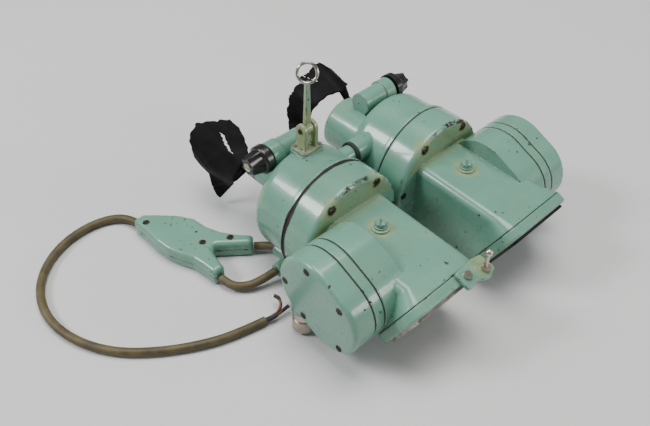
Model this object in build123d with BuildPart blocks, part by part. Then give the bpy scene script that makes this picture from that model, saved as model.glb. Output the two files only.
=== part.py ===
"""Pair of night-vision binoculars: two drum-and-box units on a telescoping bridge.

Millimetres. +Z is up, +Y is the way the wearer looks, +X is the wearer's right.
The origin is on the table, under the middle of the pair.
"""
from build123d import *
import os
from math import cos, sin, tan, radians, pi

os.makedirs("parts", exist_ok=True)

# ---- driving dimensions -------------------------------------------------
EYE_SPACING = 65.0            # between the two optical axes
DRUM_R = 31.3
WALL = 2.4
SEAM = 0.9                    # thickness of a rubber gasket
DRUM_FRONT = 16.4             # y of the drum's front face
CAP_R = 29.3
CAP_BACK = -26.5              # y of the rear cap's back face
BOX_WIDTH = 39.0
BOX_TOP = 46.8                # at the drum
BOX_TOP_FRONT = 44.6          # at the front flare
BOX_BOTTOM = 7.5
BOX_CORNER = 4.5
FRONT_TILT = 26.0             # the window looks this far below level
FLARE = 8.0                   # length of the flare behind the window frame
FRAME_W = 47.6
FRAME_H = 37.2
FRAME_T = 5.2
FRAME_CORNER = 7.5
FRAME_X = 34.6                # centre of a window frame
FRAME_Y = 65.4
FRAME_Z = 26.8
WINDOW_W = 36.0
WINDOW_H = 26.0
POD_Y = 39.4                  # centre of the side pod's capsule outline
POD_Z = 33.0
POD_LONG = 51.0
POD_SHORT = 39.4
POD_TILT = -24.0
POD_ROOT_X = 44.0
POD_SEAM_1 = 60.5
POD_SEAM_2 = 66.5
POD_FACE = 78.7
TUBE_Y = -33.6                # focus tube, parallel to X
TUBE_Z = 55.0
EYE_X = 24.0                  # middle of the eyepiece housing's larger round
EYE_TOP_Z = 34.5
EYE_R = 15.0
EYE_BACK = -49.0              # y of the eyepiece housing's back face
BARREL_R = 9.5                # eyepiece barrel, on the drum's vertical plane
BARREL_Z = 33.0
BARREL_BACK = -55.0
CELL_R = 7.92
CELL_BORE = 8.0
LENS_R = 6.4
CUP_MOUTH = -84.0
CUP_R = 21.5
BRIDGE_Y = -16.0
BRIDGE_Z = 45.0
SPIGOT_R = 4.8
BRIDGE_BORE = 4.87
SIGHT_X = 29.5
SIGHT_Y = -20.0
PAD_TOP = 61.0
PIVOT_Z = 73.0
RING_Z = 104.0
VENT_X = 31.6
VENT_Y = 32.8
VENT_Z = 47.0                 # top of the boss under the vent plug
SOCKET_X = 72.9               # power socket under the side pod
SOCKET_Y = 25.0
SCREW_RING_R = 28.0
SCREW_HEAD_R = 1.7
INLET_R = 3.6
INLET_Z = 6.4
INLET_1 = (51.5, -18.6)       # faces back
INLET_2 = (62.0, -7.2)        # faces outwards
LEAD_D = 4.4

AXIS_X = EYE_SPACING / 2
AXIS_Z = DRUM_R
TILT = radians(FRONT_TILT)


# ---- places -------------------------------------------------------------
def at_y(y):
    """Plane across the optical axis; its sketch is (x, z), extrude(-d) runs forward."""
    return Plane.XZ.offset(-y)


def front_plane(side, offset=0.0):
    """Plane of the tilted window, offset forward; its sketch is (x, down)."""
    origin = (side * FRAME_X, FRAME_Y + offset * cos(TILT), FRAME_Z - offset * sin(TILT))
    return Plane(origin=origin, x_dir=(1, 0, 0), z_dir=(0, cos(TILT), -sin(TILT)))


def save(part, name):
    part.label = name
    export_step(part, f"parts/{name}.step")


def axis_disc(side, y, radius, length, hole=0.0, z=AXIS_Z):
    """Disc or ring on a drum's vertical plane, on its axis unless z says otherwise, from y forward."""
    with BuildPart() as disc:
        with BuildSketch(at_y(y)):
            with Locations((side * AXIS_X, z)):
                Circle(radius)
                if hole:
                    Circle(hole, mode=Mode.SUBTRACT)
        extrude(amount=-length)
    return disc.part


def x_rod(x1, x2, y, z, radius):
    """Round bar parallel to X."""
    with BuildPart() as rod:
        with BuildSketch(Plane.YZ.offset(min(x1, x2))):
            with Locations((y, z)):
                Circle(radius)
        extrude(amount=abs(x2 - x1))
    return rod.part


def pod_slab(x1, x2, inset=0.0):
    """Slab with the side pod's capsule outline, between two x positions."""
    with BuildPart() as slab:
        with BuildSketch(Plane.YZ.offset(min(x1, x2))):
            with Locations((POD_Y, POD_Z)):
                SlotOverall(POD_LONG - 2 * inset, POD_SHORT - 2 * inset, rotation=POD_TILT)
        extrude(amount=abs(x2 - x1))
    return slab.part


def box_loft(side, inset=0.0, start=14.0, reach=0.0):
    """Box from the drum to the tilted window: a straight duct and a short flare."""
    top = BOX_TOP - inset
    bottom = BOX_BOTTOM + inset
    high = BOX_TOP_FRONT - inset
    back = front_plane(side, -FLARE)
    middle = ((high + bottom) / 2 - back.origin.Z) / cos(TILT)
    corner = BOX_CORNER - inset
    shift = side * (AXIS_X - FRAME_X)
    with BuildPart() as duct:
        with BuildSketch(at_y(start)):
            with Locations((side * AXIS_X, (top + bottom) / 2)):
                RectangleRounded(BOX_WIDTH - 2 * inset, top - bottom, corner)
        with BuildSketch(back):
            with Locations((shift, -middle)):
                RectangleRounded(BOX_WIDTH - 2 * inset, (high - bottom) / cos(TILT), corner)
        loft(ruled=True)
        with BuildSketch(back):
            with Locations((shift, -middle)):
                RectangleRounded(BOX_WIDTH - 2 * inset, (high - bottom) / cos(TILT), corner)
        with BuildSketch(front_plane(side)):
            RectangleRounded(FRAME_W - 2 * inset, FRAME_H - 2 * inset, FRAME_CORNER - inset)
        loft(ruled=True)
        if reach:
            with BuildSketch(front_plane(side)):
                RectangleRounded(FRAME_W - 2 * inset, FRAME_H - 2 * inset, FRAME_CORNER - inset)
            extrude(amount=reach)
    return duct.part


# ---- body of one unit ---------------------------------------------------
DRUM_SCREW_ANGLES = (58, 122, 178)


def drum_screw_spots(side):
    """Screw centres on the drum's front face, as (x, z)."""
    spots = []
    for angle in DRUM_SCREW_ANGLES:
        a = radians(angle)
        spots.append((side * (AXIS_X + SCREW_RING_R * cos(a)), AXIS_Z + SCREW_RING_R * sin(a)))
    return spots


def main_housing(side):
    """Drum front half, box, flare and the root of the side pod, cast in one."""
    outer = box_loft(side)
    inner = box_loft(side, inset=WALL, start=DRUM_FRONT - WALL - 1, reach=1.0)
    root = pod_slab(side * POD_ROOT_X, side * (POD_SEAM_1 - SEAM / 2))
    room = pod_slab(side * (POD_ROOT_X + WALL), side * POD_SEAM_1, inset=WALL)
    beside = pod_slab(side * (POD_SEAM_1 - SEAM / 2), side * (POD_FACE + 1), inset=-0.3)
    cavity = axis_disc(side, 0, DRUM_R - WALL, DRUM_FRONT - WALL)
    with BuildPart() as housing:
        with BuildSketch(at_y(SEAM / 2)):
            with Locations((side * AXIS_X, AXIS_Z)):
                Circle(DRUM_R)
        extrude(amount=-(DRUM_FRONT - SEAM / 2))
        fillet(housing.edges().filter_by(GeomType.CIRCLE).sort_by(Axis.Y)[-1], 2.5)
        add(outer)
        add(beside, mode=Mode.SUBTRACT)
        add(root)
        with BuildSketch(Plane.XY.offset(VENT_Z - 3)):
            with Locations((side * VENT_X, VENT_Y)):
                Circle(4.6)
        extrude(amount=3)
        add(cavity, mode=Mode.SUBTRACT)
        add(inner, mode=Mode.SUBTRACT)
        add(room, mode=Mode.SUBTRACT)
        with BuildSketch(at_y(DRUM_FRONT - 1.2)):
            with Locations(*drum_screw_spots(side)):
                Circle(SCREW_HEAD_R + 0.05)
        extrude(amount=-3, mode=Mode.SUBTRACT)
    return housing.part


def rear_cap(side):
    """Rounded cup behind the drum, with its flange and half of the bridge."""
    with BuildPart() as cap:
        with BuildSketch(at_y(CAP_BACK)):
            with Locations((side * AXIS_X, AXIS_Z)):
                Circle(CAP_R)
        extrude(amount=CAP_BACK + 3.0)
        fillet(cap.edges().filter_by(GeomType.CIRCLE).sort_by(Axis.Y)[0], 7)
        with BuildSketch(at_y(-3.2)):
            with Locations((side * AXIS_X, AXIS_Z)):
                Circle(DRUM_R)
        extrude(amount=-(3.2 - SEAM / 2))
        fillet(cap.edges().filter_by(GeomType.CIRCLE).group_by(Axis.Y)[-2].sort_by(SortBy.RADIUS)[-1], 0.8)
        if side > 0:
            add(x_rod(-11, 14, BRIDGE_Y, BRIDGE_Z, SPIGOT_R))
            with BuildSketch(Plane.XY.offset(50)):
                with Locations((SIGHT_X, SIGHT_Y)):
                    RectangleRounded(14, 11, 2)
            extrude(amount=PAD_TOP - 50)
            with BuildSketch(at_y(INLET_1[1])):
                with Locations((INLET_1[0], INLET_Z)):
                    Circle(INLET_R)
            extrude(amount=INLET_1[1] + 7)
            with BuildSketch(Plane.YZ.offset(46)):
                with Locations((INLET_2[1], INLET_Z)):
                    Circle(INLET_R)
            extrude(amount=INLET_2[0] - 46)
        else:
            add(x_rod(1.0, -15, BRIDGE_Y, BRIDGE_Z, 6.4))
        add(axis_disc(side, CAP_BACK + WALL, CAP_R - WALL, -CAP_BACK - WALL), mode=Mode.SUBTRACT)
        add(axis_disc(side, CAP_BACK - 1, 11.0, 5.0), mode=Mode.SUBTRACT)
        if side > 0:
            add(x_rod(0, 14, BRIDGE_Y, BRIDGE_Z, SPIGOT_R))
        else:
            add(x_rod(1.0, -17, BRIDGE_Y, BRIDGE_Z, 6.4))
            add(x_rod(1.5, -18, BRIDGE_Y, BRIDGE_Z, BRIDGE_BORE), mode=Mode.SUBTRACT)
    return cap.part


def eyepiece_housing(side):
    """Eyepiece body blended from two rounds, its barrel, and the cross tube for focusing."""
    with BuildPart() as body:
        with BuildSketch(at_y(EYE_BACK)) as outline:
            with Locations((side * EYE_X, EYE_TOP_Z)):
                Circle(EYE_R)
            with Locations((side * AXIS_X, BARREL_Z)):
                Circle(BARREL_R)
            make_hull()
        extrude(amount=-(CAP_BACK - 0.2 - EYE_BACK))
        fillet(body.edges().group_by(Axis.Y)[0], 2.2)
        add(axis_disc(side, BARREL_BACK, BARREL_R, EYE_BACK - BARREL_BACK + 1, z=BARREL_Z))
        with BuildSketch(Plane.XY.offset(EYE_TOP_Z)):
            with Locations((side * (EYE_X + 4), TUBE_Y)):
                Rectangle(12, 8)
        extrude(amount=TUBE_Z - EYE_TOP_Z)
        add(x_rod(side * 22, side * 38, TUBE_Y, TUBE_Z, 6.0))
        add(x_rod(side * 37, side * 43.5, TUBE_Y, TUBE_Z, 6.9))
        add(axis_disc(side, BARREL_BACK - 1, CELL_BORE, 14.5, z=BARREL_Z), mode=Mode.SUBTRACT)
        add(axis_disc(side, BARREL_BACK + 10, 5.5, 30.0, z=BARREL_Z), mode=Mode.SUBTRACT)
        add(x_rod(side * 34, side * 45, TUBE_Y, TUBE_Z, 2.56), mode=Mode.SUBTRACT)
    return body.part


def focus_knob(side):
    """Knob with a round skirt, a six-lobed grip and its shaft, on the end of the cross tube."""
    with BuildPart() as knob:
        with BuildSketch(Plane.YZ.offset(side * 44.9)):
            with Locations((TUBE_Y, TUBE_Z)):
                Circle(7.6)
        extrude(amount=side * 4.6)
        rim = knob.edges().filter_by(GeomType.CIRCLE).sort_by(Axis.X)
        fillet(rim[-1] if side > 0 else rim[0], 1.6)
        with BuildSketch(Plane.YZ.offset(side * 48.5)):
            with Locations((TUBE_Y, TUBE_Z)):
                Circle(6.7)
                with PolarLocations(8.2, 6):
                    Circle(2.6, mode=Mode.SUBTRACT)
        extrude(amount=side * 7.5, taper=14)
        with BuildSketch(Plane.YZ.offset(side * 54.6)):
            with Locations((TUBE_Y, TUBE_Z)):
                Circle(2.4)
        extrude(amount=side * 4, mode=Mode.SUBTRACT)
        add(x_rod(side * 35, side * 45, TUBE_Y, TUBE_Z, 2.5))
    return knob.part


def slotted_head(plane, spots, radius, height, slot=0.5):
    """Screw heads on one plane, each with a driver slot."""
    with BuildPart() as heads:
        with BuildSketch(plane):
            with Locations(*spots):
                Circle(radius)
        extrude(amount=height)
        with BuildSketch(plane.offset(height)):
            with Locations(*spots):
                Rectangle(2.4 * radius, slot)
        extrude(amount=-0.5, mode=Mode.SUBTRACT)
    return heads.part


def pod_cover(side):
    """Deep lid of the side pod."""
    with BuildPart() as cover:
        add(pod_slab(side * (POD_SEAM_2 + SEAM / 2), side * POD_FACE))
        end = cover.faces().filter_by(Axis.X).sort_by(Axis.X)
        fillet((end[-1] if side > 0 else end[0]).edges(), 2.2)
        add(pod_slab(side * POD_SEAM_2, side * (POD_FACE - WALL), inset=WALL), mode=Mode.SUBTRACT)
        with BuildSketch(Plane.YZ.offset(side * (POD_FACE - 0.8))):
            with Locations(*POD_SCREW_SPOTS):
                Circle(SCREW_HEAD_R + 0.05)
        extrude(amount=side * 3, mode=Mode.SUBTRACT)
        with BuildSketch(Plane.XY.offset(14.5)):
            with Locations((side * SOCKET_X, SOCKET_Y)):
                Circle(5.75)
        extrude(amount=8.0)
        add(pod_slab(side * POD_SEAM_2, side * (POD_FACE - WALL), inset=WALL), mode=Mode.SUBTRACT)
    return cover.part


def pod_spot(along, across):
    """Point on the pod's face from its long and short axes, as (y, z)."""
    a = radians(POD_TILT)
    return (POD_Y + along * cos(a) - across * sin(a), POD_Z + along * sin(a) + across * cos(a))


POD_SCREW_SPOTS = [pod_spot(*p) for p in ((-13, 13.5), (-19, -8), (9, 14.5), (-2, -15.8), (20, -8))]


def window_frame(side):
    """Frame around the tilted window, with a bevelled front."""
    plane = front_plane(side, 0.4)
    with BuildPart() as frame:
        with BuildSketch(plane):
            RectangleRounded(FRAME_W + 0.6, FRAME_H + 0.6, FRAME_CORNER + 0.3)
        extrude(amount=FRAME_T)
        chamfer(frame.faces().sort_by(Axis(plane.origin, plane.z_dir))[-1].edges(), 0.8)
        with BuildSketch(plane):
            RectangleRounded(WINDOW_W, WINDOW_H, 4)
        extrude(amount=FRAME_T, mode=Mode.SUBTRACT)
        with BuildSketch(plane):
            RectangleRounded(WINDOW_W + 3, WINDOW_H + 3, 4)
        extrude(amount=2.2, mode=Mode.SUBTRACT)
    return frame.part


def tilted_plate(side, offset, thickness, width, height, corner, hole=None):
    """Rectangular plate or ring parallel to the window."""
    plane = front_plane(side, offset)
    with BuildPart() as plate:
        with BuildSketch(plane):
            RectangleRounded(width, height, corner)
            if hole:
                RectangleRounded(width - hole, height - hole, max(corner - hole / 2, 0.6),
                                 mode=Mode.SUBTRACT)
        extrude(amount=thickness)
    return plate.part


def body_gaskets(side):
    """Thin black gaskets at the drum seam, the two pod seams and the window frame."""
    ring = axis_disc(side, -SEAM / 2, DRUM_R - 0.25, SEAM, hole=DRUM_R - WALL)
    frame = tilted_plate(side, 0.0, 0.4, FRAME_W - 0.4, FRAME_H - 0.4, FRAME_CORNER, hole=2 * WALL)
    rings = [ring, frame]
    for x in (POD_SEAM_1, POD_SEAM_2):
        half = SEAM / 2 - 0.01
        slab = pod_slab(side * (x - half), side * (x + half), inset=0.25)
        rings.append(slab - pod_slab(side * (x - SEAM), side * (x + SEAM), inset=WALL))
    return Compound(children=rings)


def vent_plug(side):
    """Slotted plug screwed into the boss on the box."""
    with BuildPart() as plug:
        with BuildSketch(Plane.XY.offset(VENT_Z)):
            with Locations((side * VENT_X, VENT_Y)):
                Circle(3.4)
        extrude(amount=0.8)
        with BuildSketch(Plane.XY.offset(VENT_Z + 0.8)):
            with Locations((side * VENT_X, VENT_Y)):
                Circle(2.6)
        extrude(amount=2.2)
        fillet(plug.edges().filter_by(GeomType.CIRCLE).sort_by(Axis.Z)[-1], 0.5)
        with BuildSketch(Plane.XY.offset(VENT_Z + 3.0)):
            with Locations((side * VENT_X, VENT_Y)):
                Rectangle(6, 0.9, rotation=35)
        extrude(amount=-1.0, mode=Mode.SUBTRACT)
    return plug.part


def objective_mirror(side):
    """Concave mirror with a central hole, carried by the drum."""
    with BuildPart() as mirror:
        with BuildSketch(at_y(1.0)):
            with Locations((side * AXIS_X, AXIS_Z)):
                Circle(DRUM_R - WALL - 0.1)
        extrude(amount=-6)
        with Locations((side * AXIS_X, 61.0, AXIS_Z)):
            Sphere(57.0, mode=Mode.SUBTRACT)
        add(axis_disc(side, 0, 10.5, 10), mode=Mode.SUBTRACT)
    return mirror.part


def image_tube(side):
    """Image converter: glass-ended cylinder with two collars, through the mirror."""
    with BuildPart() as tube:
        add(axis_disc(side, -21, 9.0, 27))
        add(axis_disc(side, -19, 10.3, 3))
        add(axis_disc(side, 1.2, 10.4, 3.5))
    return tube.part


def power_pack(side):
    """High-voltage block that fills the side pod."""
    with BuildPart() as pack:
        add(pod_slab(side * 47.5, side * 73.0, inset=WALL + 2.2))
    return pack.part


def eyepiece_cell(side):
    """Lens barrel that the focus knob slides along the axis."""
    with BuildPart() as cell:
        add(axis_disc(side, BARREL_BACK + 1, CELL_R, 7.0, hole=LENS_R + 0.1, z=BARREL_Z))
        add(axis_disc(side, BARREL_BACK + 1, CELL_R, 1.2, hole=LENS_R - 0.6, z=BARREL_Z))
    return cell.part


def eyepiece_lens(side):
    """Convex eye lens in the barrel."""
    back = BARREL_BACK + 2.3
    with BuildPart() as lens:
        add(axis_disc(side, back, LENS_R, 3.5, z=BARREL_Z))
        with Locations((side * AXIS_X, back + 15.2, BARREL_Z)):
            Sphere(15.2, mode=Mode.INTERSECT)
    return lens.part


def eyecup(side):
    """Rubber eyecup: a neck on the barrel, a short cone and a wide soft sleeve."""
    profile = [(BARREL_R + 0.05, -50.4), (11.0, -50.4), (11.0, -56.5), (19.6, -63.5), (CUP_R, CUP_MOUTH),
               (CUP_R - 1.4, CUP_MOUTH), (18.3, -64.3), (BARREL_R + 0.05, -57.0)]
    axis = Axis((side * AXIS_X, 0, BARREL_Z), (0, 1, 0))
    with BuildPart() as cup:
        with BuildSketch(Plane(origin=(side * AXIS_X, 0, BARREL_Z), x_dir=(1, 0, 0), z_dir=(0, 0, 1))):
            with BuildLine():
                Polyline(*profile, close=True)
            make_face()
        revolve(axis=axis)
    return cup.part


def power_socket(side):
    """Plated round socket with a knurled collar, under the side pod."""
    with BuildPart() as socket:
        with BuildSketch(Plane.XY.offset(9.0)):
            with Locations((side * SOCKET_X, SOCKET_Y)):
                Circle(5.0)
        extrude(amount=5.4)
        with BuildSketch(Plane.XY.offset(2.0)):
            with Locations((side * SOCKET_X, SOCKET_Y)):
                Circle(5.6)
                with PolarLocations(5.7, 24):
                    Circle(0.3, mode=Mode.SUBTRACT)
                Circle(4.2, mode=Mode.SUBTRACT)
        extrude(amount=7.0)
    return socket.part


for side, hand in ((1, "right"), (-1, "left")):
    save(main_housing(side), f"main_housing_{hand}")
    save(rear_cap(side), f"rear_cap_{hand}")
    save(body_gaskets(side), f"body_gaskets_{hand}")
    spacer = pod_slab(side * (POD_SEAM_1 + SEAM / 2), side * (POD_SEAM_2 - SEAM / 2))
    hole = pod_slab(side * POD_SEAM_1, side * POD_SEAM_2, inset=WALL)
    save(spacer - hole, f"pod_spacer_{hand}")
    save(pod_cover(side), f"pod_cover_{hand}")
    pod_face = Plane.YZ if side > 0 else Plane(origin=(0, 0, 0), x_dir=(0, 1, 0), z_dir=(-1, 0, 0))
    pod_spots = [(y, side * z) for y, z in POD_SCREW_SPOTS]
    save(slotted_head(pod_face.offset(POD_FACE - 0.8), pod_spots, SCREW_HEAD_R, 1.0),
         f"pod_screws_{hand}")
    drum_face = Plane(origin=(0, 0, 0), x_dir=(-1, 0, 0), z_dir=(0, 1, 0))
    drum_spots = [(-x, z) for x, z in drum_screw_spots(side)]
    save(slotted_head(drum_face.offset(DRUM_FRONT - 1.2), drum_spots, SCREW_HEAD_R, 1.6),
         f"drum_screws_{hand}")
    save(window_frame(side), f"window_frame_{hand}")
    save(tilted_plate(side, 0.5, 2.0, WINDOW_W + 2.8, WINDOW_H + 2.8, 3.9), f"window_glass_{hand}")
    save(tilted_plate(side, 0.4 + FRAME_T, 1.6, WINDOW_W + 4, WINDOW_H + 5, 3.0, hole=7),
         f"window_retainer_{hand}")
    save(vent_plug(side), f"vent_plug_{hand}")
    save(objective_mirror(side), f"objective_mirror_{hand}")
    save(image_tube(side), f"image_tube_{hand}")
    save(power_pack(side), f"power_pack_{hand}")
    save(eyepiece_housing(side), f"eyepiece_housing_{hand}")
    save(focus_knob(side), f"focus_knob_{hand}")
    knob_end = pod_face.offset(54.6)
    save(slotted_head(knob_end, [(TUBE_Y, side * TUBE_Z)], 2.3, 1.9), f"knob_screw_{hand}")
    save(eyepiece_cell(side), f"eyepiece_cell_{hand}")
    save(eyepiece_lens(side), f"eyepiece_lens_{hand}")
    save(eyecup(side), f"eyecup_{hand}")
    save(power_socket(side), f"power_socket_{hand}")

# ---- bridge seal --------------------------------------------------------
with BuildPart() as bridge_seal:
    add(x_rod(1.3, 2.8, BRIDGE_Y, BRIDGE_Z, 6.0))
    add(x_rod(1.0, 3.0, BRIDGE_Y, BRIDGE_Z, SPIGOT_R), mode=Mode.SUBTRACT)
save(bridge_seal.part, "bridge_seal")

# ---- ring sight ---------------------------------------------------------
EAR_R = 3.4
PIN_R = 1.2
with BuildPart() as sight_base:
    with BuildSketch(Plane.XY.offset(PAD_TOP)):
        with Locations((SIGHT_X, SIGHT_Y)):
            RectangleRounded(13, 10, 1.5)
    extrude(amount=1.6)
    for x in (SIGHT_X - 4.2, SIGHT_X + 2.2):
        with BuildSketch(Plane.YZ.offset(x)):
            with Locations((SIGHT_Y, (PAD_TOP + PIVOT_Z) / 2)):
                Rectangle(2 * EAR_R, PIVOT_Z - PAD_TOP)
            with Locations((SIGHT_Y, PIVOT_Z)):
                Circle(EAR_R)
        extrude(amount=2.0)
    add(x_rod(SIGHT_X - 5, SIGHT_X + 5, SIGHT_Y, PIVOT_Z, PIN_R), mode=Mode.SUBTRACT)
save(sight_base.part, "sight_base")

RING_FACING = (0.61, 0.61, 0.5)   # the ring is bent out of square on its stalk
with BuildPart() as ring_sight:
    with BuildSketch(Plane.YZ.offset(SIGHT_X - 2.0)):
        with Locations((SIGHT_Y, PIVOT_Z)):
            Circle(2.8)
    extrude(amount=4.0)
    with BuildSketch(Plane.XY.offset(PIVOT_Z + 1)):
        with Locations((SIGHT_X, SIGHT_Y)):
            Rectangle(3.4, 2.4)
    with BuildSketch(Plane.XY.offset(RING_Z - 4.6)):
        with Locations((SIGHT_X, SIGHT_Y)):
            Rectangle(2.2, 1.5)
    loft()
    with Locations(Plane(origin=(SIGHT_X, SIGHT_Y, RING_Z), z_dir=RING_FACING)):
        Torus(4.6, 0.75)
    add(x_rod(SIGHT_X - 3, SIGHT_X + 3, SIGHT_Y, PIVOT_Z, PIN_R + 0.06), mode=Mode.SUBTRACT)
save(ring_sight.part, "ring_sight")

# ---- front bracket and bead on the right window frame -------------------
BRACKET = Plane(origin=(0, FRAME_Y + (FRAME_H / 2 + 0.4) * sin(TILT) + 2.5 * cos(TILT),
                        FRAME_Z + (FRAME_H / 2 + 0.4) * cos(TILT) - 2.5 * sin(TILT)),
                x_dir=(1, 0, 0), z_dir=(0, sin(TILT), cos(TILT)))
BRACKET_T = 1.8
BEAD_X = 13.0
BEAD_V = 3.8
BRACKET_SCREW = (23.4, 1.4)
with BuildPart() as front_bracket:
    with BuildSketch(BRACKET):
        with BuildLine():
            FilletPolyline((10.5, -2.4), (15.5, -3.2), (28.4, -2.4), (27.2, 7.4), (20.5, 5.8), (14.5, 8.8),
                           (8.3, 6.4), radius=1.4, close=True)
        make_face()
    extrude(amount=BRACKET_T)
    with BuildSketch(BRACKET):
        with Locations((BEAD_X, BEAD_V)):
            Circle(1.25)
    extrude(amount=BRACKET_T, mode=Mode.SUBTRACT)
save(front_bracket.part, "front_bracket")

bead_foot = BRACKET.from_local_coords((BEAD_X, BEAD_V, BRACKET_T))
with BuildPart() as bead_sight:
    with BuildSketch(BRACKET.offset(0.1)):
        with Locations((BEAD_X, BEAD_V)):
            Circle(1.2)
    extrude(amount=BRACKET_T)
    with BuildSketch(BRACKET.offset(BRACKET_T)):
        with Locations((BEAD_X, BEAD_V)):
            Circle(2.2)
    extrude(amount=1.6)
    with BuildSketch(Plane.XY.offset(bead_foot.Z + 0.8)):
        with Locations((bead_foot.X, bead_foot.Y)):
            Circle(1.0)
    extrude(amount=8.0)
    with Locations((bead_foot.X, bead_foot.Y, bead_foot.Z + 10.0)):
        Sphere(1.9)
save(bead_sight.part, "bead_sight")

# ---- small fasteners of the two sights ----------------------------------
base_spots = [(SIGHT_X + dx, SIGHT_Y + dy) for dx in (-5.3, 5.3) for dy in (-3.6, 3.6)]
base_heads = slotted_head(Plane.XY.offset(PAD_TOP + 1.6), base_spots, 0.95, 0.8, slot=0.3)
bracket_head = slotted_head(BRACKET.offset(BRACKET_T), [BRACKET_SCREW], 2.0, 1.5)
pin = x_rod(SIGHT_X - 4.9, SIGHT_X + 4.9, SIGHT_Y, PIVOT_Z, PIN_R)
save(Compound(children=[base_heads, bracket_head]), "sight_screws")
save(pin, "sight_pin")

# ---- cable joint on the table -------------------------------------------
JOINT_SPLIT = 5.0
JOINT_TOP = 10.2
JOINT_OUTLINE = [(90.1, -84.5), (84, -79), (76.5, -71.5), (71.6, -63.5), (70.4, -54), (67.2, -46),
                 (61.8, -38.4), (56.2, -32.6), (60.6, -27.7), (68.5, -34.2), (76.3, -40.6), (79.8, -35),
                 (81.4, -24.6), (88.0, -24.6), (88.8, -34), (89.8, -40), (92.6, -46), (95.6, -54),
                 (96.6, -63), (96.4, -73), (96.7, -84.5)]
JOINT_SCREWS = [(92.8, -77.5), (66.9, -38.6), (79.6, -45.5)]
NECK_Z = 4.0


def joint_half(z1, z2, screw_holes):
    """One half of the flat Y-shaped cable joint, rounded on its outside."""
    with BuildPart() as half:
        with BuildSketch(Plane.XY.offset(z1)):
            with BuildLine():
                FilletPolyline(*JOINT_OUTLINE, radius=1.8, close=True)
            make_face()
        extrude(amount=z2 - z1)
        if screw_holes:
            fillet(half.faces().sort_by(Axis.Z)[-1].edges(), 2.6)
            with BuildSketch(Plane.XY.offset(JOINT_TOP - 0.9)):
                with Locations(*JOINT_SCREWS):
                    Circle(1.75)
            extrude(amount=3, mode=Mode.SUBTRACT)
        else:
            fillet(half.faces().sort_by(Axis.Z)[0].edges(), 1.8)
    return half.part


save(joint_half(0, JOINT_SPLIT - 0.1, False), "cable_joint_lower")
save(joint_half(JOINT_SPLIT + 0.1, JOINT_TOP, True), "cable_joint_upper")
save(slotted_head(Plane.XY.offset(JOINT_TOP - 0.9), JOINT_SCREWS, 1.7, 1.1), "cable_joint_screws")

# ---- cords --------------------------------------------------------------
FLOOR = LEAD_D / 2 + 0.05
MAIN_ROUTE = [(93.4, -85.0, NECK_Z), (94.4, -92.5, 3.2), (101, -100.5, FLOOR), (114, -103.5, FLOOR),
              (129, -101.5, FLOOR), (143, -94.5, FLOOR), (154, -83, FLOOR), (160.3, -68, FLOOR),
              (161, -52, FLOOR), (156.5, -36, FLOOR), (147.5, -21.5, FLOOR), (134, -9.5, FLOOR),
              (119, 0, FLOOR), (102.5, 7.3, FLOOR), (85, 10.8, FLOOR)]
BRANCH_1_ROUTE = [(58.1, -29.9, NECK_Z), (54.8, -27.0, 4.4), (52.5, -23.3, 5.5), (51.5, -19.3, INLET_Z)]
BRANCH_2_ROUTE = [(84.7, -24.1, NECK_Z), (84.2, -17.6, 3.4), (79.6, -12.2, 3.4), (72.8, -8.6, 4.6),
                  (62.7, -7.2, INLET_Z)]


def cord(route, name, diameter=LEAD_D):
    """Tube along straight runs joined by tangent arcs as large as the runs allow."""
    points = [Vector(*p) for p in route]
    radii = []
    for before, here, after in zip(points, points[1:], points[2:]):
        turn = radians((here - before).get_angle(after - here))
        run = min((here - before).length, (after - here).length)
        radii.append(0.45 * run / tan(turn / 2))
    with BuildPart() as tube:
        with BuildLine() as path:
            FilletPolyline(*points, radius=radii)
        start = path.wire() @ 0
        with BuildSketch(Plane(origin=start, z_dir=path.wire() % 0)):
            Circle(diameter / 2)
        sweep(path=path.wire())
    length = path.wire().length
    ratio = tube.part.volume / (pi * diameter ** 2 / 4 * length)
    print(name, "length", round(length, 1), "volume ratio", round(ratio, 4),
          "radii", [round(r, 1) for r in radii])
    save(tube.part, name)


cord(MAIN_ROUTE, "main_lead")
cord(BRANCH_1_ROUTE, "branch_lead_1")
cord(BRANCH_2_ROUTE, "branch_lead_2")
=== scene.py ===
"""Looks of the infrared binoculars: materials, torn eyecups, leads, bare wires, light and camera."""
import math
import random

import bmesh
import bpy
from mathutils import Matrix, Vector


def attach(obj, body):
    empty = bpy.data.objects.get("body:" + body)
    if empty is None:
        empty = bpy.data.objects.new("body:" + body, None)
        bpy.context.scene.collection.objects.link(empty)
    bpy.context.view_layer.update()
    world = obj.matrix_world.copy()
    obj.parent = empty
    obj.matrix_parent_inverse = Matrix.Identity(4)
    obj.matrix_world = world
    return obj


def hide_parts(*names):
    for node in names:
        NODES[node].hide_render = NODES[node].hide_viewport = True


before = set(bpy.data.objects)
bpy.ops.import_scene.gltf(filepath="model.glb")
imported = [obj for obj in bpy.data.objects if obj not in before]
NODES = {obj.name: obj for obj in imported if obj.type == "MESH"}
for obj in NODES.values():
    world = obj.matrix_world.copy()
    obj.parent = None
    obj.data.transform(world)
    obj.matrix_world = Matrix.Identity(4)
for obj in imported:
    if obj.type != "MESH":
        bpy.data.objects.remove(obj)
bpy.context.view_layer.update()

MM = 0.001
AXIS_X = 32.5 * MM
AXIS_Z = 31.3 * MM


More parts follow.
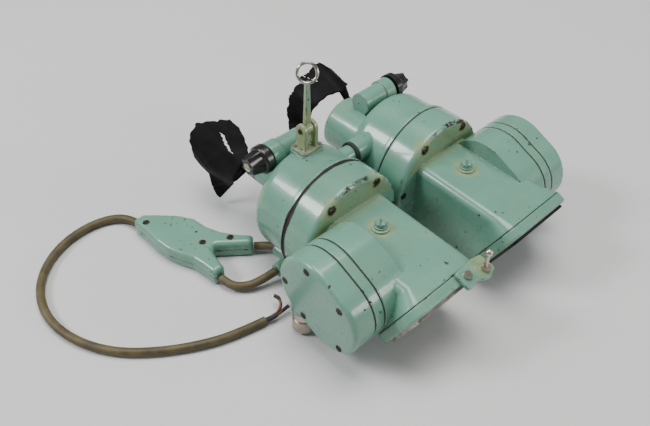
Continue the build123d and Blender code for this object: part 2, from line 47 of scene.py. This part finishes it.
# ---- camera -------------------------------------------------------------
def make_camera():
    """Camera in front of the pair, on the wearer's right, looking down at it."""
    heading, drop, roll = math.radians(224.674), math.radians(43.80), math.radians(1.509)
    ahead = Vector((math.sin(heading) * math.cos(drop), math.cos(heading) * math.cos(drop), -math.sin(drop)))
    level = Vector((math.cos(heading), -math.sin(heading), 0.0))
    upward = level.cross(ahead)
    right = math.cos(roll) * level + math.sin(roll) * upward
    up = math.cos(roll) * upward - math.sin(roll) * level
    data = bpy.data.cameras.new("camera")
    data.sensor_width = 36.0
    data.lens = 41.58
    data.clip_start = 0.01
    camera = bpy.data.objects.new("camera", data)
    bpy.context.collection.objects.link(camera)
    turn = Matrix((right, up, -ahead)).transposed().to_4x4()
    camera.matrix_world = Matrix.Translation((0.2244, 0.1909, 0.2923)) @ turn
    bpy.context.scene.camera = camera


make_camera()


# ---- material helpers ---------------------------------------------------
class Shader:
    """Small builder for one procedural material."""

    def __init__(self, name):
        self.material = bpy.data.materials.new(name)
        self.material.use_nodes = True
        self.tree = self.material.node_tree
        self.bsdf = self.tree.nodes["Principled BSDF"]
        self.place = self.node("ShaderNodeTexCoord").outputs["Object"]

    def node(self, kind, **settings):
        """New node with its plain settings."""
        made = self.tree.nodes.new(kind)
        for key, value in settings.items():
            setattr(made, key, value)
        return made

    def link(self, source, target):
        self.tree.links.new(source, target)

    def set(self, **values):
        """Fixed values on the main shader's sockets, with _ for a space in a name."""
        for key, value in values.items():
            self.bsdf.inputs[key.replace("_", " ")].default_value = value

    def put(self, socket, value):
        """Links a socket or sets a number, whichever the value is."""
        if isinstance(value, bpy.types.NodeSocket):
            self.link(value, socket)
        else:
            socket.default_value = value

    def math(self, operation, first, second=0.0, clamp=False):
        made = self.node("ShaderNodeMath", operation=operation, use_clamp=clamp)
        self.put(made.inputs[0], first)
        self.put(made.inputs[1], second)
        return made.outputs[0]

    def noise(self, scale, detail=4.0, rough=0.55, distortion=0.0, seed=0.0):
        made = self.node("ShaderNodeTexNoise", noise_dimensions="4D")
        made.inputs["Scale"].default_value = scale
        made.inputs["Detail"].default_value = detail
        made.inputs["Roughness"].default_value = rough
        made.inputs["Distortion"].default_value = distortion
        made.inputs["W"].default_value = seed
        self.link(self.place, made.inputs["Vector"])
        return made.outputs["Fac"]

    def ramp(self, value, low, high, out_low=0.0, out_high=1.0):
        """Straight ramp from out_low at low to out_high at high, level beyond them."""
        made = self.node("ShaderNodeMapRange", clamp=True)
        self.put(made.inputs["Value"], value)
        limits = {"From Min": low, "From Max": high, "To Min": out_low, "To Max": out_high}
        for name, number in limits.items():
            made.inputs[name].default_value = number
        return made.outputs[0]

    def mix(self, factor, first, second):
        """Colour between two colours, each a socket or an RGB triple."""
        made = self.node("ShaderNodeMix", data_type="RGBA")
        self.put(made.inputs["Factor"], factor)
        colour_sockets = [socket for socket in made.inputs if socket.type == "RGBA"]
        for socket, value in zip(colour_sockets, (first, second)):
            if isinstance(value, bpy.types.NodeSocket):
                self.link(value, socket)
            else:
                socket.default_value = (*value, 1.0)
        return next(socket for socket in made.outputs if socket.type == "RGBA")

    def near(self, spots, radius, soft):
        """1 close to any of the points (in metres), fading to 0 at radius + soft."""
        total = None
        for spot in spots:
            gap = self.node("ShaderNodeVectorMath", operation="DISTANCE")
            self.link(self.place, gap.inputs[0])
            gap.inputs[1].default_value = spot
            fade = self.ramp(gap.outputs["Value"], radius, radius + soft, 1.0, 0.0)
            total = fade if total is None else self.math("MAXIMUM", total, fade)
        return total

    def soft_normal(self, radius):
        """Normal with every sharp edge and inner corner rounded off, as thick paint does."""
        bevel = self.node("ShaderNodeBevel", samples=8)
        bevel.inputs["Radius"].default_value = radius
        return bevel.outputs[0]

    def edges(self, radius):
        """About 0 on flat metal, rising on rounded and sharp edges."""
        normal = self.node("ShaderNodeNewGeometry").outputs["Normal"]
        dot = self.node("ShaderNodeVectorMath", operation="DOT_PRODUCT")
        self.link(self.soft_normal(radius), dot.inputs[0])
        self.link(normal, dot.inputs[1])
        return self.math("SUBTRACT", 1.0, dot.outputs["Value"], clamp=True)

    def axis_parts(self):
        """Object x, y and z as three sockets."""
        parts = self.node("ShaderNodeSeparateXYZ")
        self.link(self.place, parts.inputs[0])
        return parts.outputs["X"], parts.outputs["Y"], parts.outputs["Z"]

    def bump(self, height, strength, distance, normal=None):
        made = self.node("ShaderNodeBump")
        made.inputs["Strength"].default_value = strength
        made.inputs["Distance"].default_value = distance
        self.put(made.inputs["Height"], height)
        if normal:
            self.link(normal, made.inputs["Normal"])
        self.link(made.outputs[0], self.bsdf.inputs["Normal"])


# Places in metres where the paint is stained or chipped
VENTS = [(side * 0.0316, 0.0328, 0.047) for side in (1, -1)]
SCREW_RING = 0.028
DRUM_FACE = 0.0165
JUST_OUTSIDE_DRUM = 0.0317
DRUM_SCREWS = [(side * (AXIS_X + SCREW_RING * math.cos(math.radians(angle))), DRUM_FACE,
                AXIS_Z + SCREW_RING * math.sin(math.radians(angle)))
               for side in (1, -1) for angle in (58, 122)]
SIGHT = (0.0295, -0.020, 0.066)
SIGHT_PIN = (0.0295, -0.020, 0.073)
SIGHT_ARM = (0.0295, -0.020, 0.080)
SIGHT_PLATED_ABOVE = 0.0988
BRACKET = (0.0130, 0.0770, 0.0440)
VARNISH = (0.30, 0.33, 0.14)
WORN_PALE = (0.36, 0.47, 0.38)
PRIMER_DARK = (0.010, 0.008, 0.007)
PRIMER_LIGHT = (0.045, 0.028, 0.020)


def from_axis(s, x, z):
    """Distance from a drum's axis, with x already measured from the middle of the pair."""
    across = s.math("SUBTRACT", x, AXIS_X)
    up = s.math("SUBTRACT", z, AXIS_Z)
    return s.math("SQRT", s.math("ADD", s.math("MULTIPLY", across, across), s.math("MULTIPLY", up, up)))


def drum_rim(s):
    """1 on the front rim of each drum, where the paint is knocked off most."""
    x, y, z = s.axis_parts()
    radius = from_axis(s, s.math("ABSOLUTE", x), z)
    band = s.math("MULTIPLY", s.ramp(radius, 0.0292, 0.0300), s.ramp(y, 0.0140, 0.0148))
    band = s.math("MULTIPLY", band, s.math("LESS_THAN", radius, JUST_OUTSIDE_DRUM))
    band = s.math("MULTIPLY", band, s.math("LESS_THAN", y, 0.0168))
    return s.math("MULTIPLY", band, s.ramp(z, 0.038, 0.044))


def drum_seam(s):
    """1 close to the gasket round the right drum, where the paint has cracked away beside it."""
    x, y, z = s.axis_parts()
    radius = from_axis(s, x, z)
    wide = s.ramp(s.noise(34, 5, 0.6, seed=41.0), 0.35, 0.62, 0.0003, 0.0016)
    inside = s.math("LESS_THAN", s.math("ABSOLUTE", y), wide)
    inside = s.math("MULTIPLY", inside, s.math("LESS_THAN", radius, JUST_OUTSIDE_DRUM))
    return s.math("MULTIPLY", inside, s.ramp(radius, 0.0300, 0.0304))


def drum_foot(s):
    """1 in the corner where the box leaves the drum's front face."""
    _, y, z = s.axis_parts()
    band = s.math("MULTIPLY", s.ramp(y, 0.0158, 0.0164), s.ramp(y, 0.0172, 0.0225, 1.0, 0.0))
    return s.math("MULTIPLY", band, s.ramp(z, 0.043, 0.046))


def enamel(name, base=(0.132, 0.300, 0.222), chips=0.0, stain_spots=(), stain=0.0, nickel_above=None):
    """Pale sea-green gloss enamel with chips to dark primer, grime and yellowed varnish."""
    s = Shader(name)
    cloud = s.noise(22, 5, 0.6, seed=2.0)
    fine = s.noise(300, 3, 0.6, seed=5.0)
    pale = tuple(min(1.0, c * 1.10) for c in base)
    deep = tuple(c * 0.88 for c in base)
    colour = s.mix(s.ramp(cloud, 0.35, 0.68), deep, pale)
    yellow = s.noise(55, 6, 0.65, 0.6, seed=9.0)
    yellow_mask = s.ramp(yellow, 0.56 - 0.08 * stain, 0.86, 0.0, 0.40)
    ragged = s.ramp(s.noise(260, 5, 0.7, seed=4.0), 0.30, 0.52)
    foot = s.math("MULTIPLY", drum_foot(s), s.math("MULTIPLY", ragged, 0.55))
    yellow_mask = s.math("MAXIMUM", yellow_mask, foot)
    if stain_spots:
        around = s.near(stain_spots, 0.0046, 0.0035)
        spot_stain = s.math("MULTIPLY", around, s.math("MULTIPLY", ragged, 0.75))
        yellow_mask = s.math("MAXIMUM", yellow_mask, spot_stain)
    colour = s.mix(yellow_mask, colour, VARNISH)
    rim = s.edges(0.0016)
    breakup = s.noise(190, 6, 0.7, 0.4, seed=7.0)
    rim_chip = s.math("MULTIPLY", s.ramp(rim, 0.045, 0.11), s.ramp(breakup, 0.615 - chips, 0.635 - chips))
    drum_chip = s.math("MULTIPLY", drum_rim(s), s.ramp(s.noise(260, 5, 0.7, 0.5, seed=31.0), 0.47, 0.49))
    cluster = s.ramp(s.noise(38, 2, 0.5, seed=33.0), 0.46, 0.50)
    drum_chip = s.math("MAXIMUM", s.math("MULTIPLY", drum_chip, cluster), drum_seam(s))
    screw_chip = s.math("MULTIPLY", s.near(DRUM_SCREWS, 0.0024, 0.0008),
                        s.ramp(s.noise(300, 4, 0.7, seed=43.0), 0.44, 0.48))
    drum_chip = s.math("MAXIMUM", drum_chip, screw_chip)
    spots = s.noise(95, 2, 0.4, 0.2, seed=12.0)
    spot_mask = s.ramp(spots, 0.765 - 0.3 * chips, 0.775 - 0.3 * chips)
    pits = s.noise(420, 1, 0.3, seed=21.0)
    pitted_area = s.ramp(s.noise(30, 2, 0.5, seed=3.0), 0.46, 0.56)
    pit_mask = s.math("MULTIPLY", s.ramp(pits, 0.735 - chips, 0.755 - chips), pitted_area)
    chip = s.math("MAXIMUM", s.math("MAXIMUM", rim_chip, spot_mask), s.math("MAXIMUM", pit_mask, drum_chip),
                  clamp=True)
    under = s.mix(s.ramp(fine, 0.4, 0.62), PRIMER_DARK, PRIMER_LIGHT)
    halo = s.math("MULTIPLY", s.ramp(rim, 0.02, 0.10), s.ramp(breakup, 0.47, 0.60, 0.0, 0.30))
    colour = s.mix(halo, colour, WORN_PALE)
    colour = s.mix(chip, colour, under)
    rough = s.ramp(s.noise(60, 5, 0.6, seed=15.0), 0.3, 0.75, 0.22, 0.34)
    rough = s.math("ADD", rough, s.math("MULTIPLY", chip, 0.35))
    s.put(s.bsdf.inputs["Coat Weight"], s.math("MULTIPLY", s.math("SUBTRACT", 1.0, chip), 0.35))
    metal = 0.0
    if nickel_above is not None:
        plated = s.ramp(s.axis_parts()[2], nickel_above, nickel_above + 0.0008)
        plated_colour = s.mix(s.ramp(fine, 0.35, 0.6), (0.30, 0.26, 0.22), (0.58, 0.54, 0.50))
        colour = s.mix(plated, colour, plated_colour)
        metal = plated
    s.link(colour, s.bsdf.inputs["Base Color"])
    s.link(rough, s.bsdf.inputs["Roughness"])
    s.put(s.bsdf.inputs["Metallic"], metal)
    s.set(IOR=1.45, Coat_Roughness=0.07)
    orange_peel = s.math("MULTIPLY", s.noise(240, 2, 0.5, seed=18.0), 0.5)
    waves = s.math("MULTIPLY", s.noise(45, 2, 0.5, seed=19.0), 1.6)
    height = s.math("SUBTRACT", s.math("ADD", orange_peel, waves), s.math("MULTIPLY", chip, 0.8))
    s.bump(height, 0.30, 0.00025, s.soft_normal(0.0013))
    return s.material


def plain(name, dark, light, rough, scale=160, metallic=0.0, strength=0.3, distance=0.0001,
          dirt=None, coat=0.0, specular=0.5):
    """Two-tone material with noise in its colour, roughness and bump."""
    s = Shader(name)
    tone = s.noise(scale, 5, 0.6, seed=1.0)
    colour = s.mix(s.ramp(tone, 0.35, 0.66), dark, light)
    worn = s.noise(scale * 0.3, 4, 0.6, seed=6.0)
    if dirt:
        colour = s.mix(s.ramp(worn, 0.5, 0.72, 0.0, 0.7), colour, dirt)
    s.link(colour, s.bsdf.inputs["Base Color"])
    s.link(s.ramp(worn, 0.3, 0.7, rough[0], rough[1]), s.bsdf.inputs["Roughness"])
    s.set(Metallic=metallic, Coat_Weight=coat, Coat_Roughness=0.2, Specular_IOR_Level=specular)
    s.bump(tone, strength, distance)
    return s.material


def glass(name, tint, alpha, rough):
    """Coated glass with smears on it."""
    s = Shader(name)
    smear = s.noise(120, 5, 0.6, seed=3.0)
    s.link(s.mix(s.ramp(smear, 0.4, 0.7), tint, tuple(min(1, c * 1.6 + 0.01) for c in tint)),
           s.bsdf.inputs["Base Color"])
    s.link(s.ramp(smear, 0.35, 0.75, rough, rough + 0.12), s.bsdf.inputs["Roughness"])
    s.set(IOR=1.52, Alpha=alpha, Coat_Weight=0.5, Coat_Roughness=0.03)
    s.bump(smear, 0.05, 0.00005)
    return s.material


ENAMEL = enamel("enamel", chips=0.012, stain_spots=VENTS + DRUM_SCREWS + [SIGHT], stain=0.6)
ENAMEL_WORN = enamel("enamel_worn", chips=0.035, stain_spots=[BRACKET], stain=1.2)
ENAMEL_JOINT = enamel("enamel_joint", chips=0.075, stain=1.0)
ENAMEL_SIGHT = enamel("enamel_sight", base=(0.24, 0.35, 0.24), chips=0.06,
                      stain_spots=[SIGHT, SIGHT_PIN, SIGHT_ARM], stain=1.6, nickel_above=SIGHT_PLATED_ABOVE)
SEAL = plain("seal", (0.008, 0.010, 0.009), (0.016, 0.017, 0.015), (0.55, 0.8), 220)
RUBBER = plain("rubber", (0.0015, 0.0015, 0.0015), (0.005, 0.005, 0.005), (0.50, 0.75), 180, strength=0.5,
               distance=0.0003, specular=0.12)
NICKEL = plain("nickel", (0.40, 0.34, 0.27), (0.66, 0.60, 0.52), (0.22, 0.45), 240, metallic=1.0,
               strength=0.25, dirt=(0.20, 0.12, 0.06))
STEEL = plain("steel", (0.025, 0.018, 0.014), (0.10, 0.07, 0.05), (0.4, 0.7), 300, metallic=0.7, strength=0.5,
              dirt=(0.05, 0.03, 0.02))
BLACK = plain("black_metal", (0.008, 0.008, 0.008), (0.03, 0.03, 0.028), (0.3, 0.5), 200)
BAKELITE = plain("bakelite", (0.003, 0.003, 0.003), (0.011, 0.009, 0.008), (0.20, 0.36), 150, strength=0.35,
                 distance=0.0002, coat=0.3)
CABLE = plain("cable", (0.052, 0.040, 0.013), (0.115, 0.091, 0.034), (0.45, 0.7), 130, strength=0.6,
              distance=0.0003, dirt=(0.085, 0.068, 0.045))
SHEATH = plain("sheath", (0.010, 0.009, 0.008), (0.035, 0.028, 0.022), (0.5, 0.8), 260, strength=0.6,
               distance=0.0002)
COPPER = plain("core", (0.05, 0.022, 0.012), (0.16, 0.07, 0.03), (0.35, 0.6), 300, metallic=0.6)
FILTER = glass("filter_glass", (0.012, 0.006, 0.006), 1.0, 0.05)
LENS = glass("lens_glass", (0.55, 0.62, 0.60), 0.35, 0.02)
MIRROR = plain("mirror", (0.75, 0.76, 0.75), (0.86, 0.87, 0.86), (0.05, 0.12), 90, metallic=1.0,
               strength=0.05)

LOOKS = {
    "main_housing": ENAMEL, "rear_cap": ENAMEL, "body_gaskets": SEAL, "pod_spacer": ENAMEL,
    "pod_cover": ENAMEL, "pod_screws": STEEL, "drum_screws": STEEL, "window_frame": ENAMEL_WORN,
    # window_retainer_left gets black metal as painted shade: a dark copy of the nickel retainer on the right,
    # standing in for a plate that shows no reflection
    "window_glass": FILTER, "window_retainer_right": NICKEL, "window_retainer_left": BLACK,
    "vent_plug": ENAMEL_WORN, "objective_mirror": MIRROR, "image_tube": STEEL, "power_pack": BAKELITE,
    "eyepiece_housing": ENAMEL, "focus_knob": BAKELITE, "knob_screw": NICKEL, "eyepiece_cell": BLACK,
    "eyepiece_lens": LENS, "eyecup": RUBBER, "power_socket": NICKEL, "bridge_seal": SEAL,
    "sight_base": ENAMEL_SIGHT, "ring_sight": ENAMEL_SIGHT, "front_bracket": ENAMEL_WORN,
    "bead_sight": NICKEL, "sight_screws": NICKEL, "sight_pin": STEEL, "cable_joint": ENAMEL_JOINT,
    "cable_joint_screws": STEEL, "main_lead": CABLE, "branch_lead": CABLE,
}


def paint(thing, material):
    """Gives a piece one material."""
    thing.data.materials.clear()
    thing.data.materials.append(material)


for node, thing in NODES.items():
    keys = [key for key in LOOKS if node.startswith(key)]
    paint(thing, LOOKS[max(keys, key=len)])


# ---- pieces made here ---------------------------------------------------
def add_mesh(name, verts, faces, material):
    """Smooth-shaded mesh of one material."""
    mesh = bpy.data.meshes.new(name)
    mesh.from_pydata([tuple(v) for v in verts], [], faces)
    mesh.validate()
    mesh.shade_smooth()
    thing = bpy.data.objects.new(name, mesh)
    bpy.context.collection.objects.link(thing)
    paint(thing, material)
    return thing


def nurbs(name, points, radius, material):
    """Round cord on a smooth NURBS line through its control points, in millimetres."""
    curve = bpy.data.curves.new(name, "CURVE")
    curve.dimensions = "3D"
    spline = curve.splines.new("NURBS")
    spline.points.add(len(points) - 1)
    for point, place in zip(spline.points, points):
        point.co = (*[c * MM for c in place], 1.0)
    spline.order_u = 3
    spline.use_endpoint_u = True
    spline.resolution_u = 12
    curve.bevel_depth = radius
    curve.bevel_resolution = 6
    curve.use_fill_caps = True
    thing = bpy.data.objects.new(name, curve)
    bpy.context.collection.objects.link(thing)
    curve.materials.append(material)
    return thing


LEAD_D = 4.4 * MM
SHEATH_R = 1.35 * MM
CORE_R = 0.75 * MM
TIP_R = 0.95 * MM
FLOOR = 2.25
NECK_Z = 4.0
INLET_Z = 6.4
MAIN_ROUTE = [(93.4, -85.0, NECK_Z), (94.4, -92.5, 3.2), (101, -100.5, FLOOR), (114, -103.5, FLOOR),
              (129, -101.5, FLOOR), (143, -94.5, FLOOR), (154, -83, FLOOR), (160.3, -68, FLOOR),
              (161, -52, FLOOR), (156.5, -36, FLOOR), (147.5, -21.5, FLOOR), (134, -9.5, FLOOR),
              (119, 0, FLOOR), (102.5, 7.3, FLOOR), (85, 10.8, FLOOR)]
BRANCH_2_ROUTE = [(84.7, -24.1, NECK_Z), (84.2, -17.6, 3.4), (79.6, -12.2, 3.4), (72.8, -8.6, 4.6),
                  (62.7, -7.2, INLET_Z)]


def bare_end():
    """The cut end: dark inner sheath, then two short cores with black tips."""
    sheath = nurbs("inner_sheath", [(85.5, 10.7, 2.3), (82.0, 12.0, 2.5), (78.8, 12.2, 3.1)],
                   SHEATH_R, SHEATH)
    core_1 = nurbs("bare_core_1", [(79.6, 12.1, 3.0), (75.6, 11.2, 4.0), (73.4, 9.2, 5.0), (72.9, 7.0, 5.8)],
                   CORE_R, COPPER)
    core_2 = nurbs("bare_core_2", [(79.6, 12.2, 2.9), (77.6, 12.8, 3.0), (75.2, 12.4, 3.3)], CORE_R, COPPER)
    tip_1 = nurbs("bare_tip_1", [(73.0, 7.6, 5.6), (72.8, 6.0, 6.1), (74.0, 4.4, 6.4)], TIP_R, SHEATH)
    tip_2 = nurbs("bare_tip_2", [(75.8, 12.5, 3.2), (73.6, 12.3, 3.4), (71.4, 12.4, 3.6)], TIP_R, SHEATH)
    made = [sheath, core_1, core_2, tip_1, tip_2]
    for piece in made:
        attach(piece, "right_unit")
    return made


def leads():
    """The main lead and the longer branch; the shorter branch stays the CAD solid."""
    main = nurbs("lead", MAIN_ROUTE, LEAD_D / 2, CABLE)
    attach(main, "right_unit")
    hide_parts("main_lead")
    branch = nurbs("lead_branch_2", BRANCH_2_ROUTE, LEAD_D / 2, CABLE)
    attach(branch, "right_unit")
    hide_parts("branch_lead_2")
    end = bare_end()


leads()


# ---- torn eyecups -------------------------------------------------------
def smooth_between(stations, angle, column):
    """Cosine interpolation of one column of a list of rows that start with an angle."""
    for low, high in zip(stations, stations[1:]):
        if low[0] <= angle <= high[0]:
            t = (angle - low[0]) / (high[0] - low[0])
            t = (1 - math.cos(math.pi * t)) / 2
            return low[column] + (high[column] - low[column]) * t
    return stations[-1][column]


def on_split(split, angle, y):
    """Whether a point of a cup lies on a straight split from one (angle, y) to another."""
    first, last, start, end, half_width = split
    if not first <= angle <= last:
        return False
    return abs(y - start - (end - start) * (angle - first) / (last - first)) < half_width


BARREL_X = 32.5
BARREL_END = -55.0
BARREL_RADIUS = 9.5
BARREL_HEIGHT = 33.0
CUP_THICK = 1.2 * MM
CUP_ROWS = 34
NECK_ROWS = 6
CUP_STEP = 2.0                   # degrees between columns


def eyecup(hand, side, seed, middle_z, front_radius, stations, tongue, splits):
    """Perished rubber cup: what is left of a soft sleeve, held by one tongue on the eyepiece barrel.

    A station is (angle, front y, back y, back radius) in degrees and millimetres, with the angle
    from +X towards +Z. tongue is the span of angles that still reaches the barrel, and a split is
    (first angle, last angle, y at the first, y at the last, half width).
    """
    rng = random.Random(seed)
    first, last = stations[0][0], stations[-1][0]
    angles = [first + CUP_STEP * k for k in range(int((last - first) / CUP_STEP) + 1)]
    raw = [rng.uniform(-1, 1) for _ in range(len(angles) + 4)]
    rag = [(raw[k] + raw[k + 1] + raw[k + 2]) / 3 + 0.35 * raw[k + 3] for k in range(len(angles))]
    verts = []
    for column, angle in enumerate(angles):
        front, back, radius = (smooth_between(stations, angle, k) for k in (1, 2, 3))
        front += 0.2 * rag[column]
        back += 1.5 * rag[column]
        turn = math.radians(angle)
        fold = 0.7 * math.sin(6 * turn + seed)
        for row in range(-NECK_ROWS, CUP_ROWS + 1):
            if row >= 0:
                t = row / CUP_ROWS
                y = front + (back - front) * t
                r = front_radius + (radius - front_radius) * t + fold * math.sin(math.pi * t)
                z = middle_z
            else:
                t = -row / NECK_ROWS
                y = front + (BARREL_END + 1.5 - front) * t
                r = front_radius * (1 - t) + (BARREL_RADIUS + 0.1) * t
                z = middle_z * (1 - t) + BARREL_HEIGHT * t
            verts.append(Vector((side * BARREL_X + r * math.cos(turn), y, z + r * math.sin(turn))) * MM)
    height = NECK_ROWS + CUP_ROWS + 1
    faces = []
    for column in range(len(angles) - 1):
        angle = angles[column] + CUP_STEP / 2
        for row in range(height - 1):
            if row < NECK_ROWS and not tongue[0] <= angle < tongue[1]:
                continue
            quad = [column * height + row, column * height + row + 1,
                    (column + 1) * height + row + 1, (column + 1) * height + row]
            middle = sum((verts[q].y for q in quad), 0.0) / 4 / MM
            if row >= NECK_ROWS and any(on_split(split, angle, middle) for split in splits):
                continue
            faces.append(quad)
    cup = add_mesh(f"torn_eyecup_{hand}", verts, faces, RUBBER)
    edit = bmesh.new()
    edit.from_mesh(cup.data)
    bmesh.ops.delete(edit, geom=[v for v in edit.verts if not v.link_faces], context="VERTS")
    bmesh.ops.recalc_face_normals(edit, faces=edit.faces)
    edit.to_mesh(cup.data)
    edit.free()
    thick = cup.modifiers.new("thickness", "SOLIDIFY")
    thick.thickness = CUP_THICK
    thick.offset = 0.0
    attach(cup, f"{hand}_unit")
    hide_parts(f"eyecup_{hand}")


RIGHT_CUP = [(-58, -67, -72, 29.0), (-42, -64, -75, 24), (-30, -61, -78, 19.5), (-25, -60, -84, 19.0),
             (0, -55, -90, 18.5), (25, -52.5, -93, 18), (48, -51.5, -94, 17.5), (60, -53, -89.5, 17),
             (68, -55.5, -86, 17), (77, -61, -82.5, 17.5), (91, -70, -78, 18)]
LEFT_CUP = [(-24, -68, -72.5, 29.5), (-8, -66.5, -79, 23), (17, -65, -81, 20.5), (40, -63, -81, 21),
            (59, -61, -80, 21.5), (72, -58.5, -79.5, 21), (84, -56.5, -79, 23.5), (94, -57, -79, 24),
            (103, -59, -73, 22), (112, -60, -67, 19)]
eyecup("right", 1, 3, 29.0, 17.0, RIGHT_CUP, (-4, 38),
       [(44, 62, -62.0, -75.5, 2.3), (-12, 8, -73, -89, 0.6)])
eyecup("left", -1, 5, 30.0, 17.8, LEFT_CUP, (80, 102),
       [(64, 72, -81, -71, 1.1), (50, 60, -81, -75, 0.8)])


# ---- stage --------------------------------------------------------------
LIT_POINT = Vector((0.0, 0.0, 0.03))


def stage():
    """Pale flat floor, a large soft overhead light, two small windows and a weak grey sky."""
    floor = Shader("floor")
    floor.link(floor.mix(floor.ramp(floor.noise(3, 2), 0.3, 0.7), (0.60, 0.60, 0.60), (0.63, 0.63, 0.628)),
               floor.bsdf.inputs["Base Color"])
    floor.set(Roughness=0.8)
    bpy.ops.mesh.primitive_plane_add(size=14, location=(0, 0, -0.0002))
    ground = bpy.context.object
    ground.name = "floor"
    ground.data.materials.append(floor.material)
    world = bpy.data.worlds.new("studio")
    bpy.context.scene.world = world
    world.use_nodes = True
    world.node_tree.nodes["Background"].inputs[0].default_value = (0.95, 0.97, 1.0, 1)
    world.node_tree.nodes["Background"].inputs[1].default_value = 0.25
    for name, place, size, power, colour in (
            ("overhead", (-0.15, -0.10, 1.50), 0.9, 22.5, (1.0, 0.99, 0.97)),
            ("left_window", (0.78, -0.58, 0.85), 0.34, 10.0, (0.98, 0.99, 1.0)),
            ("right_window", (-0.62, 0.95, 0.45), 0.34, 4.5, (1.0, 0.99, 0.97)),
    ):
        data = bpy.data.lights.new(name, "AREA")
        data.energy = power
        data.size = size
        data.color = colour
        light = bpy.data.objects.new(name, data)
        bpy.context.collection.objects.link(light)
        light.location = place
        light.rotation_euler = (LIT_POINT - Vector(place)).to_track_quat("-Z", "Y").to_euler()


stage()
